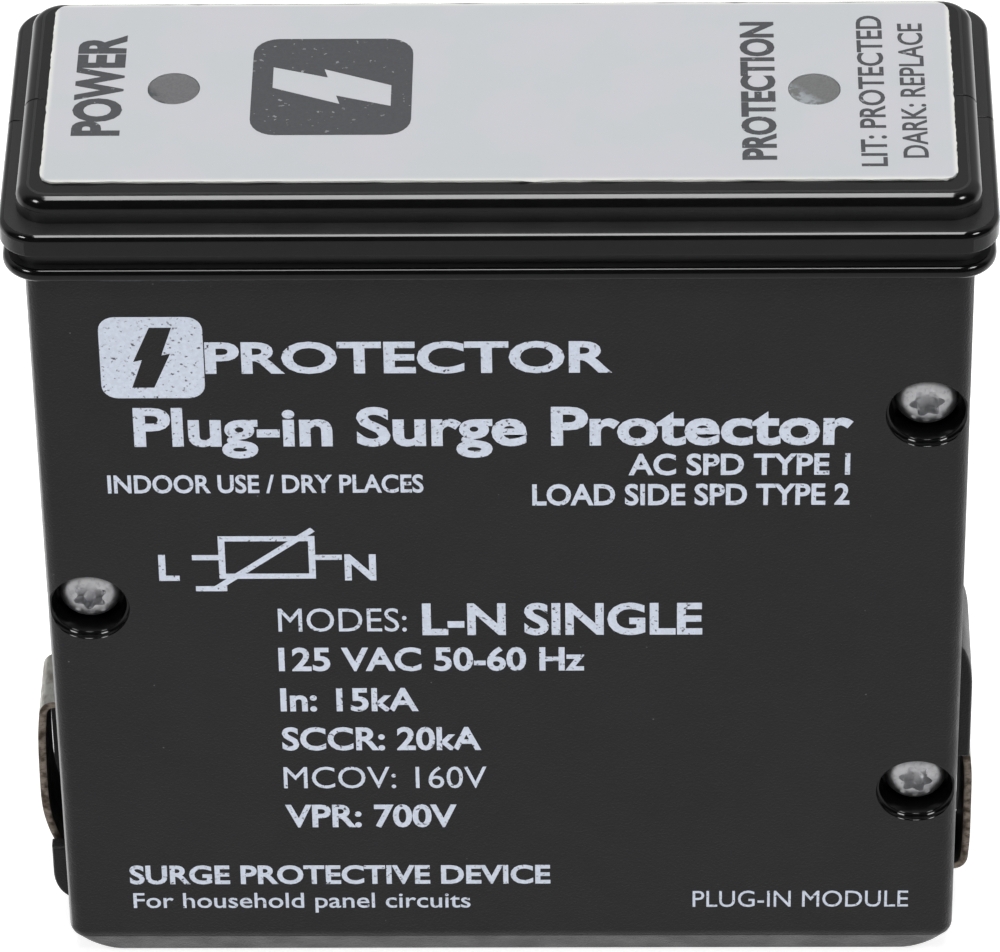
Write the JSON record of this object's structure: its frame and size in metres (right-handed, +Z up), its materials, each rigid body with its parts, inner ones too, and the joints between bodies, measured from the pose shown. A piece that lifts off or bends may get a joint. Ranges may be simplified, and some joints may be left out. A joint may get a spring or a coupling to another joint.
{
  "type": "plug-in surge protection module",
  "caption": "Black plug-in surge protection cartridge with a stepped glossy head, light grey status label, recessed screws and bowed side contacts.",
  "frame": {"origin": "centre of the underside's footprint, on the plane the module stands on", "axes": "+Z up through the labelled head, -Y out of the printed front face, +X towards the protection window's end"},
  "size_m": [0.0803, 0.0312, 0.0837],
  "materials": {
    "housing_plastic": "fine texture on the body, glossy on the head",
    "label_overlay": "satin printed film",
    "smoked_lens": "smoked translucent",
    "screw_zinc": "bright zinc",
    "contact_plating": "nickel plated with bare sheared edges",
    "tinned_metal": "tinned",
    "copper": "bright copper",
    "board_laminate": "glass epoxy with solder mask",
    "varistor_coating": "epoxy dip",
    "fuse_ceramic": "unglazed",
    "capacitor_case": "moulded",
    "led_resin": "tinted clear",
    "resistor_body": "lacquer",
    "black_epoxy": "moulded",
    "fish_paper": "pressed fibre sheet"
  },
  "bodies": {
    "housing": {"front_shell": "housing_plastic", "rear_shell": "housing_plastic", "top_label": "label_overlay", "power_window": "smoked_lens", "protection_window": "smoked_lens", "screw_upper_right": "screw_zinc", "screw_left": "screw_zinc", "screw_lower_right": "screw_zinc", "left_terminal": "tinned_metal", "right_terminal": "tinned_metal", "varistor_1": "varistor_coating", "varistor_2": "varistor_coating", "varistor_3": "varistor_coating", "thermal_fuse_1": "fuse_ceramic", "thermal_fuse_2": "fuse_ceramic", "thermal_fuse_3": "fuse_ceramic", "line_fuse": "fuse_ceramic", "film_capacitor": "capacitor_case", "power_led": "led_resin", "protection_led": "led_resin", "led_resistor_1": "resistor_body", "led_resistor_2": "resistor_body", "led_diode_1": "black_epoxy", "led_diode_2": "black_epoxy", "sense_transistor": "black_epoxy", "bus_link": "copper", "circuit_board": "board_laminate", "insulating_sheet": "fish_paper"},
    "left_contact": {"left_contact_spring": "contact_plating"},
    "right_contact": {"right_contact_spring": "contact_plating"}
  },
  "joints": [
    {"name": "left_contact_press", "type": "hinge", "parent": "housing", "child": "left_contact", "pos_m": [-0.0381, -0.0048, 0.02505], "axis": [0, -1, 0], "range_deg": [0, 4], "stiffness_Nm_per_rad": 0.6},
    {"name": "right_contact_press", "type": "hinge", "parent": "housing", "child": "right_contact", "pos_m": [0.0381, -0.0048, 0.0062], "axis": [0, -1, 0], "range_deg": [0, 4], "stiffness_Nm_per_rad": 0.6}
  ]
}
